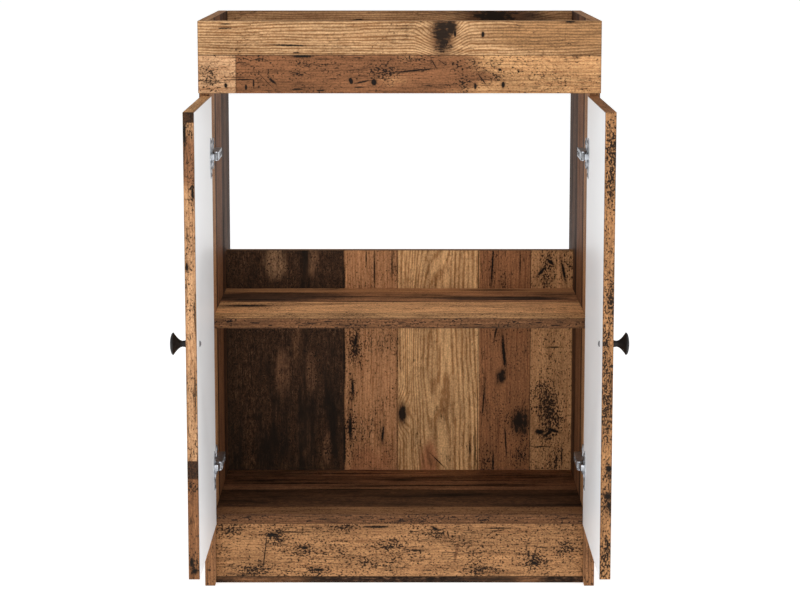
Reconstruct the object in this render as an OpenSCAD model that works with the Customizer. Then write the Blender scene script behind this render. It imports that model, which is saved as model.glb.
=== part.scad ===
// Base cabinet for a washbasin: two side boards, rails, shelf, bottom board, kick board,
// a low back board and two overlay doors, shown with the doors open at a right angle.
// X runs across the cabinet, Y from front to back, Z up from the floor.

/* [Cabinet] */
// Overall width of the carcass
cabinet_w = 580; // [480:10:720]
// Depth from the front rail's face to the rear edges of the sides
cabinet_d = 390; // [370:10:480]
// Height of the side boards
cabinet_h = 840; // [700:10:1000]
// Thickness of every board
board_t = 15; // [12.5:0.5:18]

/* [Boards] */
// Height of the front and rear rails
rail_h = 104; // [86:1:140]
// Front-to-back depth of the shelf and the bottom board
shelf_d = 280; // [220:5:300]
// Height of the shelf's upper face above the floor
shelf_top = 405; // [340:5:430]
// Height of the bottom board's upper face above the floor
bottom_top = 110; // [100:1:135]
// How far the kick board stands back from the front edges of the sides
kick_setback = 17; // [5:1:40]
// Height of the back board's upper edge above the floor
back_top = 466; // [440:1:600]

/* [Doors] */
// Gap between the closed door's outer edge and the cabinet's side face
side_reveal = 1; // [0.5:0.5:3]
// Gap between the two closed doors
middle_gap = 2; // [1:0.5:4]
// Gap between the door's top and the front rail
top_gap = 3.8; // [2:0.1:6]
// Height of the door's lower edge above the floor
door_foot_z = 96.5; // [80:0.5:110]
// Gap between the closed door and the front edges of the sides
door_air = 1; // [1:0.1:2]

/* [Knobs] */
// Largest diameter of the knob
knob_d = 30.7; // [24:0.1:40]
// Height of the knob above the door's face
knob_h = 25; // [20:0.5:32]
// Distance from the door's free edge to the knob's axis
knob_inset = 42; // [30:1:60]

/* [Hinges] */
// Distance from the door's end to the hinge's axis
hinge_inset = 88; // [70:1:120]
// Diameter of the hinge cup
cup_d = 35; // [35:1:35]
// Depth of the hinge cup
cup_depth = 11.5; // [11.5:0.1:12]
// Distance from the door's edge to the rim of the cup
cup_tab = 3; // [3:0.5:4]
// Diameter of the hinge pins
pin_d = 2.4; // [2:0.1:2.6]
// Distance from the front edge of the side to the hinge plate's screws
plate_setback = 37; // [37:1:40]
// Spacing of the hinge plate's two screws
plate_pitch = 32; // [32:1:34]

/* [Fasteners] */
// Diameter of the wood dowels
dowel_d = 8; // [6:1:8]
// Distance from a board's end to the axis of its cam lock
cam_reach = 34; // [30:1:40]
// Diameter of the cam locks
cam_d = 15; // [12:1:15]
// Distance between a cam bolt and the dowel beside it
dowel_pitch = 32; // [25:1:32]
// Spacing of the two wall screw holes in the rear rail
wall_pitch = 400; // [300:10:420]
// Diameter of the wall screw holes
wall_hole_d = 5.5; // [4:0.5:7]

/* [Hidden] */

eps = 0.05;             // overrun of a cut past an open face
fit = 0.05;             // radial clearance of a running or a sliding fit
small_fn = 16;          // facets of the fasteners
round_fn = 24;          // facets of the hinge's eyes and pins
cup_fn = 48;            // facets of the hinge cup

// Faces of the carcass, with Y = 0 on the front rail's face
side_in = cabinet_w / 2 - board_t;
rail_z = cabinet_h - rail_h;
shelf_back = board_t + shelf_d;

// The closed right-hand door
door_edge = cabinet_w / 2 - side_reveal;
door_w = door_edge - middle_gap / 2;
door_in = board_t - door_air;
door_out = door_in - board_t;
door_top = rail_z - top_gap;
hinge_zs = [door_top - hinge_inset, door_foot_z + hinge_inset];
knob_z = (door_top + door_foot_z) / 2;

// Where the open door stands: its inner face, inside the edge that it had when closed,
// and its hinge-side edge, in front of the face that it had when closed
open_shift = 17.7;
open_reach = 9;
open_face = door_edge - open_shift;
open_edge = door_in - open_reach;

// The point about which the open and the closed door differ by a quarter turn
pole = [(open_face + door_in - open_edge + door_edge) / 2,
        (open_face + door_in + open_edge - door_edge) / 2];

// The link turns about a pin in the arm, and the door about a pin in the cup. Seen from
// the pole the cup's pin lies 45 degrees to either side of the arm's pin.
arm_pin = [door_edge - 23, door_in - 3];
pin_orbit = 10;
pin_bearing = atan2(arm_pin[1] - pole[1], arm_pin[0] - pole[0]);
cup_pin = [for (turn = [-45, 45]) pole + pin_orbit * [cos(pin_bearing + turn), sin(pin_bearing + turn)]];
pin_r = pin_d / 2;
cup_x = door_edge - cup_tab - cup_d / 2;
cup_wall = 0.8;
flange_t = 0.8;
flange_lap = 1.2;       // how far the flange reaches past the cup
flange_ear_r = 5.5;
cup_screw = [-6, 24];   // from the cup's centre, away from the edge and up or down
cup_screw_l = 11;
lug_t = 1.4;            // the cup's two inner lugs, which hold its pin
lug_r = 2.3;
lug_air = 0.5;          // gap between a lug and the link

// Hinge arm: a channel whose web lies on the plate's ridge
arm_w = 12.7;
arm_sheet = 1.4;
arm_web = arm_pin[0] - 3.4;
arm_end = board_t + 61;
arm_air = 0.2;          // gap between the arm's cheeks and the plate
eye_r = 3;              // the arm's round nose about its pin
plate_y = board_t + plate_setback;
plate_sheet = 2;
plate_ear_r = 7;
ridge = [plate_y - 14, plate_y + 18];
arm_screw_ys = [plate_y - 9, plate_y + 11];
arm_screw_r = 1.9;
arm_screw_l = 8.5;
link_w = 8.8;
link_r = 1.3;           // half the link's thickness
lug_gap = link_w / 2 + lug_air;

// Wood screws of the hinge plates and the cups
wood_screw_r = 1.75;
wood_screw_l = 11.5;
wood_screw_bore = 12;   // depth of their holes in a board
knob_screw_r = 2;

// Knob: foot, waist, and a rim below a shallow dome
knob_foot = [5.6, 1.2]; // radius and height
knob_waist = [4.2, 8.5];// radius, and height above the door
flare_bend = 1.6;       // 1 is a straight cone from the waist to the rim
dome_h = 4.3;
rim_h = 0.4;
knob_bore = 12;
knob_steps = 6;         // points along each curve of the profile
quarter = 90 / knob_steps;

// Places of the fittings: from the edges of a shelf, above the bottom board's face,
// below the back board's edge, and above the floor on the kick board
shelf_joint = 50;
back_joint = [35, 50];
kick_joint_z = 63;

// The whole object is shifted so that the origin is under the middle of its box,
// from the free edges of the open doors to the rear edges of the sides
shift_y = -(open_edge - door_w + cabinet_d) / 2;

// ---------------------------------------------------------------- placing

module cabinet() translate([0, shift_y, 0]) children();

module left() cabinet() mirror([1, 0, 0]) children();

module right() cabinet() children();

// turns a closed right-hand door's piece into its open place
module opened() translate(pole) rotate(90) translate(-pole) children();

// a cylinder along +Y that starts at p
module rod_y(p, r, l, fn = small_fn) translate(p) rotate([-90, 0, 0]) cylinder(r = r, h = l, $fn = fn);

// a cylinder along +X that starts at p
module rod_x(p, r, l, fn = small_fn) translate(p) rotate([0, 90, 0]) cylinder(r = r, h = l, $fn = fn);

module board(from, to) translate(from) cube(to - from);

// Places of the fittings on the right-hand side, each in a frame whose X runs into the
// board that is held and whose Z points out of the cam lock's face.
module at_end(y, z) translate([side_in, y, z]) children();

module facing_down() rotate([0, 180, 0]) children();

module facing_back() rotate([0, 180, 0]) rotate([-90, 0, 0]) children();

module facing_inward() rotate([-90, 0, 0]) rotate([0, -90, 0]) children();

module at_joints() {
    // shelf and bottom board
    for (z = [shelf_top - board_t / 2, bottom_top - board_t / 2])
        for (end = [0, 1])
            at_end(end == 0 ? board_t + shelf_joint : shelf_back - shelf_joint, z) facing_down()
                mirror([0, end, 0]) children();
    // back board
    for (end = [0, 1])
        at_end(shelf_back + board_t / 2, end == 0 ? bottom_top + back_joint[0] : back_top - back_joint[1])
            facing_back() mirror([0, end, 0]) children();
    // kick board and rear rail
    at_end(board_t + kick_setback + board_t / 2, kick_joint_z) facing_back() mirror([0, 1, 0]) children();
    at_end(cabinet_d - board_t / 2, rail_z + rail_h / 2 - dowel_pitch / 2) facing_back() children();
    // front rail on the front edge of the side
    translate([side_in + board_t / 2, board_t, rail_z + rail_h / 2 - dowel_pitch / 2])
        facing_inward() mirror([0, 1, 0]) children();
}

module both_sides() for (side = [0, 1]) cabinet() mirror([side, 0, 0]) children();

// ---------------------------------------------------------------- fittings

bolt_thread = 11;
bolt_r = 2.5;
bolt_shank_r = 3;
bolt_neck = [1.8, 8, 3];// radius, and how far before the cam lock's axis it starts and ends
bolt_head = [3.3, 1];   // radius, and how far past the axis it ends
bolt_room_r = 4;
dowel_in = 10;          // depth of a dowel in the board that it is pressed into
dowel_out = 20;         // and in the board that slides over it
cam_floor = 5;          // depth of the cam lock past the middle of its board
cam_sunk = 0.2;         // how far the cam lock lies below its board's face
cam_room = 7.6;         // the slot in the cam lock for the bolt's head
cam_slit = [7, 1.2];    // length, and width and depth, of its screwdriver cross

module cam_bolt() rotate([0, 90, 0])
    rotate_extrude($fn = small_fn) polygon([
        [0, -bolt_thread], [bolt_r, -bolt_thread], [bolt_r, 0], [bolt_shank_r, 0],
        [bolt_shank_r, cam_reach - bolt_neck[1]], [bolt_neck[0], cam_reach - bolt_neck[1] + 1],
        [bolt_neck[0], cam_reach - bolt_neck[2]], [bolt_head[0], cam_reach - bolt_neck[2] + 1],
        [bolt_head[0], cam_reach + bolt_head[1]], [0, cam_reach + bolt_head[1]]]);

module cam_lock() translate([cam_reach, 0, -cam_floor]) difference() {
    height = board_t / 2 + cam_floor - cam_sunk;
    cylinder(d = cam_d, h = height, $fn = round_fn);
    translate([-cam_d, -cam_room / 2, cam_floor - cam_room / 2]) cube([cam_d + 2.5, cam_room, cam_room]);
    for (turn = [45, 135]) rotate(turn) translate([-cam_slit[0] / 2, -cam_slit[1] / 2, height - cam_slit[1]])
        cube([cam_slit[0], cam_slit[1], 2 * cam_slit[1]]);
}

module dowel() translate([-dowel_in, dowel_pitch, 0]) rotate([0, 90, 0])
    cylinder(d = dowel_d, h = dowel_in + dowel_out, $fn = small_fn);

module fitting_holes() {
    rod_x([-bolt_thread, 0, 0], bolt_r + fit, bolt_thread + eps);
    rod_x([-eps, 0, 0], bolt_room_r, cam_reach - bolt_room_r);
    translate([cam_reach, 0, -cam_floor])
        cylinder(d = cam_d + 2 * fit, h = board_t / 2 + cam_floor + 1, $fn = round_fn);
    rod_x([-dowel_in, dowel_pitch, 0], dowel_d / 2 + fit, dowel_in + dowel_out);
}

module all_fitting_holes() both_sides() at_joints() fitting_holes();

// pan-head screw along +X with its head's seat at the origin
crown = 0.7;            // radius of the head's crown, as a share of the head
cross = [1.1, 0.9, 0.8];// the cross recess: length as a share of the head's radius, width, depth

module pan_screw(r, l, head_r, head_h) {
    rod_x([-eps, 0, 0], r, l + eps);
    difference() {
        rotate([0, -90, 0]) cylinder(r1 = head_r, r2 = head_r * crown, h = head_h, $fn = small_fn);
        for (turn = [0, 90]) rotate([turn, 0, 0])
            translate([-head_h - 1, -cross[1] / 2, -head_r * cross[0] / 2])
                cube([1 + cross[2], cross[1], head_r * cross[0]]);
    }
}

// ---------------------------------------------------------------- carcass boards

module side_panel() difference() {
    board([side_in, board_t, 0], [side_in + board_t, cabinet_d, cabinet_h]);
    at_joints() fitting_holes();
    for (z = hinge_zs) for (end = [-1, 1])
        rod_x([side_in - eps, plate_y, z + end * plate_pitch / 2], wood_screw_r + fit, wood_screw_bore + eps);
}

module left_side_panel() color("peru") left() side_panel();

module right_side_panel() color("peru") right() side_panel();

module cross_board(from, to) difference() {
    cabinet() board([-side_in, from[0], from[1]], [side_in, to[0], to[1]]);
    all_fitting_holes();
}

module front_rail() color("tan") difference() {
    cabinet() board([-cabinet_w / 2, 0, rail_z], [cabinet_w / 2, board_t, cabinet_h]);
    all_fitting_holes();
}

module rear_rail() color("tan") difference() {
    cross_board([cabinet_d - board_t, rail_z], [cabinet_d, cabinet_h]);
    for (end = [-1, 1]) cabinet()
        rod_y([end * wall_pitch / 2, cabinet_d - board_t - eps, rail_z + rail_h / 2], wall_hole_d / 2,
            board_t + 2 * eps, round_fn);
}

module shelf() color("sienna")
    cross_board([board_t, shelf_top - board_t], [shelf_back, shelf_top]);

module bottom_panel() color("sienna")
    cross_board([board_t, bottom_top - board_t], [shelf_back, bottom_top]);

module kick_board() color("burlywood")
    cross_board([board_t + kick_setback, 0], [2 * board_t + kick_setback, bottom_top - board_t]);

module back_panel() color("rosybrown")
    cross_board([shelf_back, bottom_top - board_t], [shelf_back + board_t, back_top]);

module cam_bolts() color("silver") both_sides() at_joints() cam_bolt();

module cam_locks() color("silver") both_sides() at_joints() cam_lock();

module wood_dowels() color("wheat") both_sides() at_joints() dowel();

// ---------------------------------------------------------------- doors

module door() opened() difference() {
    board([door_edge - door_w, door_out, door_foot_z], [door_edge, door_in, door_top]);
    for (z = hinge_zs) {
        rod_y([cup_x, door_in - cup_depth, z], cup_d / 2 + fit, cup_depth + eps, cup_fn);
        for (end = [-1, 1])
            rod_y([cup_x + cup_screw[0], door_in - wood_screw_bore, z + end * cup_screw[1]],
                wood_screw_r + fit, wood_screw_bore + eps);
    }
    rod_y([door_edge - door_w + knob_inset, door_out - eps, knob_z], knob_screw_r + 2 * fit,
        board_t + 2 * eps);
}

module left_door() color("burlywood") left() door();

module right_door() color("burlywood") right() door();

// mushroom knob: foot, waist, rim and a shallow dome
module knob() opened() translate([door_edge - door_w + knob_inset, door_out, knob_z]) rotate([90, 0, 0])
    difference() {
        rim_r = knob_d / 2;
        rim_z = knob_h - dome_h - rim_h;
        rotate_extrude($fn = 40) polygon(concat(
            [[0, 0], [knob_foot[0], 0], knob_foot],
            [for (step = [1:knob_steps]) [
                knob_foot[0] - (knob_foot[0] - knob_waist[0]) * sin(step * quarter),
                knob_foot[1] + (knob_waist[1] - knob_foot[1]) * step / knob_steps]],
            [for (step = [1:knob_steps]) [
                knob_waist[0] + (rim_r - knob_waist[0]) * pow(step / knob_steps, flare_bend),
                knob_waist[1] + (rim_z - knob_waist[1]) * step / knob_steps]],
            [[rim_r, rim_z + rim_h]],
            [for (step = [1:knob_steps]) [
                rim_r * cos(step * quarter), rim_z + rim_h + dome_h * sin(step * quarter)]]));
        translate([0, 0, -eps]) cylinder(r = knob_screw_r + fit, h = knob_bore + eps, $fn = small_fn);
    }

module left_knob() color("dimgray") left() knob();

module right_knob() color("dimgray") right() knob();

module knob_screw() opened() translate([door_edge - door_w + knob_inset, door_in, knob_z])
    rotate([0, 0, -90]) pan_screw(knob_screw_r, board_t + knob_bore - 1, 4.2, 2.4);

module left_knob_screw() color("silver") left() knob_screw();

module right_knob_screw() color("silver") right() knob_screw();

// ---------------------------------------------------------------- hinges

module plate_ends() for (end = [-1, 1]) translate([0, plate_y, end * plate_pitch / 2]) children();

module hinge_plate(z) translate([0, 0, z]) difference() {
    union() {
        translate([side_in, 0, 0]) rotate([0, -90, 0]) linear_extrude(plate_sheet) hull()
            for (end = [-1, 1]) translate([end * plate_pitch / 2, plate_y])
                circle(r = plate_ear_r, $fn = round_fn);
        board([arm_web + arm_sheet, ridge[0], -arm_w / 2 + arm_sheet + arm_air],
              [side_in, ridge[1], arm_w / 2 - arm_sheet - arm_air]);
    }
    plate_ends() rod_x([side_in - plate_sheet - 1, 0, 0], wood_screw_r + fit, plate_sheet + 2);
    for (y = arm_screw_ys) rod_x([arm_web, y, 0], arm_screw_r + fit, arm_screw_l + 0.5);
}

module arm_outline() difference() {
    union() {
        polygon([[arm_web, arm_pin[1]], [arm_web, arm_end], [side_in - plate_sheet - arm_air, arm_end],
                 [side_in - plate_sheet - arm_air, board_t + 9], [arm_pin[0] + eye_r, board_t + 2],
                 [arm_pin[0] + eye_r, arm_pin[1]]]);
        translate(arm_pin) circle(r = eye_r, $fn = round_fn);
    }
    translate(arm_pin) circle(r = pin_r + fit, $fn = round_fn);
}

module hinge_arm(z) translate([0, 0, z]) difference() {
    union() {
        for (side = [-1, 1]) translate([0, 0, side * (arm_w - arm_sheet) / 2 - arm_sheet / 2])
            linear_extrude(arm_sheet) arm_outline();
        board([arm_web, board_t + 1, -arm_w / 2], [arm_web + arm_sheet, arm_end, arm_w / 2]);
    }
    for (y = arm_screw_ys) rod_x([arm_web - 1, y, 0], arm_screw_r + fit, arm_sheet + 1.6);
}

// the link in its open place: straight from the arm's pin, then round the rim of the cup
module hinge_link(z) translate([0, 0, z - link_w / 2]) linear_extrude(link_w) difference() {
    bend = [[arm_pin[0] + 0.9, arm_pin[1] - 9], [open_face - 3, arm_pin[1] - 13.2]];
    union() {
        translate(arm_pin) circle(r = 2 * link_r, $fn = round_fn);
        translate(cup_pin[1]) circle(r = 2.4, $fn = round_fn);
        link_leg([arm_pin, bend[0]]);
        link_leg(bend);
        link_leg([bend[1], cup_pin[1]]);
    }
    translate(arm_pin) circle(r = pin_r + fit, $fn = round_fn);
    translate(cup_pin[1]) circle(r = pin_r + fit, $fn = round_fn);
}

module link_leg(ends) hull() for (p = ends) translate(p) circle(r = link_r, $fn = small_fn);

module hinge_cup(z) opened() translate([0, 0, z]) difference() {
    union() {
        difference() {
            union() {
                rod_y([cup_x, door_in - cup_depth, 0], cup_d / 2, cup_depth, cup_fn);
                translate([0, door_in + flange_t, 0]) rotate([90, 0, 0]) linear_extrude(flange_t) hull() {
                    translate([cup_x, 0]) circle(r = cup_d / 2 + flange_lap, $fn = 32);
                    for (end = [-1, 1]) translate([cup_x + cup_screw[0], end * cup_screw[1]])
                        circle(r = flange_ear_r, $fn = 32);
                }
            }
            rod_y([cup_x, door_in - cup_depth + cup_wall, 0], cup_d / 2 - cup_wall, cup_depth + 1, cup_fn);
        }
        intersection() {
            rod_y([cup_x, door_in - cup_depth + eps, 0], cup_d / 2 - cup_wall / 2, cup_depth - 0.5, cup_fn);
            for (side = [-1, 1])
                translate([0, 0, side * (lug_gap + lug_t / 2) - lug_t / 2]) linear_extrude(lug_t) hull() {
                    translate(cup_pin[0]) circle(r = lug_r, $fn = round_fn);
                    translate([cup_pin[0][0] - 4.5, door_in - cup_depth + cup_wall / 2]) square([6, 1]);
                }
        }
    }
    translate([cup_pin[0][0], cup_pin[0][1], -lug_gap - lug_t - 1])
        cylinder(r = pin_r + fit, h = 2 * (lug_gap + lug_t + 1), $fn = round_fn);
    for (end = [-1, 1])
        rod_y([cup_x + cup_screw[0], door_in - 1, end * cup_screw[1]], wood_screw_r + fit, flange_t + 2.2);
}

rivet = [1.9, 0.4];     // radius and height of the heads of the arm's pin

module arm_pin_rod(z) translate([arm_pin[0], arm_pin[1], z]) {
    cylinder(d = pin_d, h = arm_w, center = true, $fn = round_fn);
    for (side = [-1, 1]) translate([0, 0, side * (arm_w + rivet[1]) / 2])
        cylinder(r = rivet[0], h = rivet[1], center = true, $fn = round_fn);
}

module cup_pin_rod(z) translate([cup_pin[1][0], cup_pin[1][1], z])
    cylinder(d = pin_d, h = 2 * (lug_gap + lug_t), center = true, $fn = round_fn);

module plate_screw_pair(z) translate([0, 0, z]) plate_ends()
    translate([side_in - plate_sheet, 0, 0]) pan_screw(wood_screw_r, plate_sheet + wood_screw_l, 3.3, 1.6);

module arm_screw_pair(z) for (y = arm_screw_ys) translate([arm_web, y, z])
    pan_screw(arm_screw_r, arm_screw_l, 3, 1.6);

module cup_screw_pair(z) opened() for (end = [-1, 1])
    translate([cup_x + cup_screw[0], door_in + flange_t, z + end * cup_screw[1]])
        rotate([0, 0, -90]) pan_screw(wood_screw_r, flange_t + cup_screw_l, 3.4, 1.4);

module left_upper_hinge_plate() color("silver") left() hinge_plate(hinge_zs[0]);
module left_lower_hinge_plate() color("silver") left() hinge_plate(hinge_zs[1]);
module right_upper_hinge_plate() color("silver") right() hinge_plate(hinge_zs[0]);
module right_lower_hinge_plate() color("silver") right() hinge_plate(hinge_zs[1]);

module left_upper_hinge_arm() color("silver") left() hinge_arm(hinge_zs[0]);
module left_lower_hinge_arm() color("silver") left() hinge_arm(hinge_zs[1]);
module right_upper_hinge_arm() color("silver") right() hinge_arm(hinge_zs[0]);
module right_lower_hinge_arm() color("silver") right() hinge_arm(hinge_zs[1]);

module left_upper_hinge_link() color("gray") left() hinge_link(hinge_zs[0]);
module left_lower_hinge_link() color("gray") left() hinge_link(hinge_zs[1]);
module right_upper_hinge_link() color("gray") right() hinge_link(hinge_zs[0]);
module right_lower_hinge_link() color("gray") right() hinge_link(hinge_zs[1]);

module left_upper_hinge_cup() color("silver") left() hinge_cup(hinge_zs[0]);
module left_lower_hinge_cup() color("silver") left() hinge_cup(hinge_zs[1]);
module right_upper_hinge_cup() color("silver") right() hinge_cup(hinge_zs[0]);
module right_lower_hinge_cup() color("silver") right() hinge_cup(hinge_zs[1]);

module plate_screws() color("gray") both_sides() for (z = hinge_zs) plate_screw_pair(z);

module arm_screws() color("gray") both_sides() for (z = hinge_zs) arm_screw_pair(z);

module arm_pins() color("gray") both_sides() for (z = hinge_zs) arm_pin_rod(z);

module left_cup_screws() color("gray") left() for (z = hinge_zs) cup_screw_pair(z);
module right_cup_screws() color("gray") right() for (z = hinge_zs) cup_screw_pair(z);

module left_cup_pins() color("gray") left() for (z = hinge_zs) cup_pin_rod(z);
module right_cup_pins() color("gray") right() for (z = hinge_zs) cup_pin_rod(z);

// ---------------------------------------------------------------- nodes

left_side_panel();
right_side_panel();
front_rail();
rear_rail();
shelf();
bottom_panel();
kick_board();
back_panel();
cam_bolts();
cam_locks();
wood_dowels();
left_door();
right_door();
left_knob();
right_knob();
left_knob_screw();
right_knob_screw();
left_upper_hinge_plate();
left_lower_hinge_plate();
right_upper_hinge_plate();
right_lower_hinge_plate();
left_upper_hinge_arm();
left_lower_hinge_arm();
right_upper_hinge_arm();
right_lower_hinge_arm();
left_upper_hinge_link();
left_lower_hinge_link();
right_upper_hinge_link();
right_lower_hinge_link();
left_upper_hinge_cup();
left_lower_hinge_cup();
right_upper_hinge_cup();
right_lower_hinge_cup();
plate_screws();
arm_screws();
arm_pins();
left_cup_screws();
right_cup_screws();
left_cup_pins();
right_cup_pins();
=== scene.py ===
"""Bathroom vanity base cabinet: plank-pattern boards, hinges, knobs, floor, light and camera."""

import math

import bmesh
import bpy
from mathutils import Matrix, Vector


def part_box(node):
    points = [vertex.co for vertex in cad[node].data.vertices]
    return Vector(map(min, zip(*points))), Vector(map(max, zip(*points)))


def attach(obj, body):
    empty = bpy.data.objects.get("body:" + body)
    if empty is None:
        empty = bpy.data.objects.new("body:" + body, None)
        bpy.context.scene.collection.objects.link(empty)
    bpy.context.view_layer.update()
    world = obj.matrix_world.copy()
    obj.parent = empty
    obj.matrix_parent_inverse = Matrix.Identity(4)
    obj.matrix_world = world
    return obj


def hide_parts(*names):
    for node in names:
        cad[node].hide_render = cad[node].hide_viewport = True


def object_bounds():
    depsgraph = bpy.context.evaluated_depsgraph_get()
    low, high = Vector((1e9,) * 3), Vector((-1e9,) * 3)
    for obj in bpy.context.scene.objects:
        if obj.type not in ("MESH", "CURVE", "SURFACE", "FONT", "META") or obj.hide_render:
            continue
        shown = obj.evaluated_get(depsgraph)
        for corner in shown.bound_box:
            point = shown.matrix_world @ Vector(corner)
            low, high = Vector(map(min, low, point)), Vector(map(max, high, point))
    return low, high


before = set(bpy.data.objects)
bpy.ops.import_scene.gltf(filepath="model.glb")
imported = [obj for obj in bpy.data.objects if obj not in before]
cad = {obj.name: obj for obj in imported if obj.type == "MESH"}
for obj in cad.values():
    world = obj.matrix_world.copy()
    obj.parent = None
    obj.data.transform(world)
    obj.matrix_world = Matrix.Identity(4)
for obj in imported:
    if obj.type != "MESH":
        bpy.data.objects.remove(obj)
cad_box = [list(corner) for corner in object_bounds()]

MM = 0.001
SAME = 0.00001          # metres; points closer than this are one point
AXES = "xyz"
SIDES = {"left": ("+x", "-x"), "right": ("-x", "+x")}    # where inner and outer faces look


def show(thing):
    bpy.context.scene.collection.objects.link(thing)


def low(node):
    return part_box(node)[0]


def high(node):
    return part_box(node)[1]


# ------------------------------------------------------------------ camera

FRONT_Y = low("front_rail").y
EYE_DISTANCE = 3.316    # in front of the cabinet, metres
EYE_HEIGHT = 0.981
EYE_TILT = 8.36         # below level, degrees
LENS = 103.69           # millimetres, on a sensor 36 mm wide
LENS_RISE = -0.05       # keeps the cabinet upright, as a share of the sensor


def make_camera():
    data = bpy.data.cameras.new("camera")
    data.lens = LENS
    data.sensor_width = 36.0
    data.shift_x = 0.0005
    data.shift_y = LENS_RISE
    data.clip_start, data.clip_end = 0.1, 60.0
    camera = bpy.data.objects.new("camera", data)
    camera.location = (0.0, FRONT_Y - EYE_DISTANCE, EYE_HEIGHT)
    camera.rotation_euler = (math.radians(90.0 - EYE_TILT), 0.0, 0.0)
    show(camera)
    bpy.context.scene.camera = camera


make_camera()


# ------------------------------------------------------------------ shader maths

class Socket:
    """An output of a shader node that works in Python arithmetic."""

    def __init__(self, paint, out):
        self.paint = paint
        self.out = out

    def math(self, operation, *others, swap=False):
        values = [*others, self] if swap else [self, *others]
        return self.paint.node("ShaderNodeMath", {"operation": operation}, values)

    def __add__(self, other):
        return self.math("ADD", other)

    def __sub__(self, other):
        return self.math("SUBTRACT", other)

    def __rsub__(self, other):
        return self.math("SUBTRACT", other, swap=True)

    def __mul__(self, other):
        return self.math("MULTIPLY", other)

    def __truediv__(self, other):
        return self.math("DIVIDE", other)

    def __abs__(self):
        return self.math("ABSOLUTE")

    __radd__ = __add__
    __rmul__ = __mul__

    def sine(self):
        return self.math("SINE")

    def power(self, exponent):
        return self.math("POWER", exponent)

    def over(self, other):
        return self.math("MAXIMUM", other)

    def under(self, other):
        return self.math("MINIMUM", other)

    def ramp(self, start, end, low_value, high_value):
        return self.paint.node("ShaderNodeMapRange", {"interpolation_type": "SMOOTHSTEP"},
                               {"Value": self, "From Min": start, "From Max": end,
                                "To Min": low_value, "To Max": high_value})

    def rise(self, start, end, top=1.0):
        """0 below start, top above end and a smooth step between."""
        return self.ramp(start, end, 0.0, top)

    def fall(self, start, end, top=1.0):
        """top below start, 0 above end and a smooth step between."""
        return self.ramp(start, end, top, 0.0)


class Graph:
    """A node tree whose nodes are added one expression at a time."""

    def __init__(self, tree):
        self.tree = tree

    def node(self, kind, settings=None, inputs=(), out=0):
        node = self.tree.nodes.new(kind)
        for name, value in (settings or {}).items():
            if name == "ramp":
                self.fill_ramp(node.color_ramp, *value)
            else:
                setattr(node, name, value)
        pairs = inputs.items() if isinstance(inputs, dict) else enumerate(inputs)
        for key, value in pairs:
            self.join(node.inputs[key], value)
        return Socket(self, node.outputs[out])

    def join(self, into, value):
        if isinstance(value, list):
            for part in value:
                self.join(into, part)
        elif isinstance(value, Socket):
            self.tree.links.new(value.out, into)
        elif isinstance(value, tuple) and len(value) == 3 and into.type == "RGBA":
            into.default_value = (*value, 1.0)
        else:
            into.default_value = value

    @staticmethod
    def fill_ramp(ramp, kind, stops):
        ramp.interpolation = kind
        for at, _ in stops[2:]:
            ramp.elements.new(at)
        for element, (at, _) in zip(ramp.elements, stops):
            element.position = at
        for element, (_, colour) in zip(ramp.elements, stops):
            element.color = (*colour, 1.0)

    def vector(self, x, y, z):
        return self.node("ShaderNodeCombineXYZ", inputs=[x, y, z])

    def parts(self, vector):
        """The X, Y and Z of a vector."""
        return {axis: self.node("ShaderNodeSeparateXYZ", inputs=[vector],
                                out=axis.upper()) for axis in AXES}


class Paint(Graph):
    """A procedural material."""

    def __init__(self, name):
        self.material = bpy.data.materials.new(name)
        self.material.use_nodes = True
        super().__init__(self.material.node_tree)
        self.shader = self.tree.nodes["Principled BSDF"]

    def point(self):
        """The shaded point in the object's own frame."""
        return self.node("ShaderNodeTexCoord", out="Object")

    def stretch(self, vector, x, y, z):
        return self.node("ShaderNodeVectorMath", {"operation": "MULTIPLY"}, [vector, (x, y, z)])

    def noise(self, vector, scale=1.0, detail=2.0, rough=0.5):
        return self.node("ShaderNodeTexNoise", {},
                         {"Vector": vector, "Scale": scale, "Detail": detail, "Roughness": rough})

    def mix(self, share, first, second, blend="MIX"):
        """Colours or vectors of two sources in the given share."""
        node = self.tree.nodes.new("ShaderNodeMix")
        node.data_type = "RGBA"
        node.blend_type = blend
        for key, value in ((0, share), (6, first), (7, second)):
            self.join(node.inputs[key], value)
        return Socket(self, node.outputs[2])

    def finish(self, colour, roughness, height=None, depth=0.0004, strength=0.5, metallic=0.0, gloss=0.5):
        self.join(self.shader.inputs["Base Color"], colour)
        self.join(self.shader.inputs["Roughness"], roughness)
        self.join(self.shader.inputs["Metallic"], metallic)
        self.shader.inputs["Specular IOR Level"].default_value = gloss
        if height is not None:
            normal = self.node("ShaderNodeBump", {},
                               {"Strength": strength, "Distance": depth, "Height": height})
            self.join(self.shader.inputs["Normal"], normal)
        return self.material


# ------------------------------------------------------------------ old wood

SOOT = (0.011, 0.008, 0.006)
DIRT = (0.050, 0.022, 0.010)
BARK = (0.115, 0.050, 0.021)
FLAKE = (0.22, 0.112, 0.056)


class Plank:
    """One strip of the pattern: its light and dark wood, its wear from 0 to 1 (char, pits and cracks),
    and its figure (strength of the growth rings, and rings in a millimetre)."""

    def __init__(self, light, dark, char=0.1, pits=0.2, cracks=0.2, rings=0.5, spacing=4.5):
        self.light, self.dark = light, dark
        self.wear = (char, pits, cracks)
        self.figure = (rings, 1.0 / spacing)

    def but(self, **changes):
        twin = Plank(self.light, self.dark)
        twin.wear, twin.figure = self.wear, self.figure
        for name, value in changes.items():
            setattr(twin, name, value)
        return twin


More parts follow.
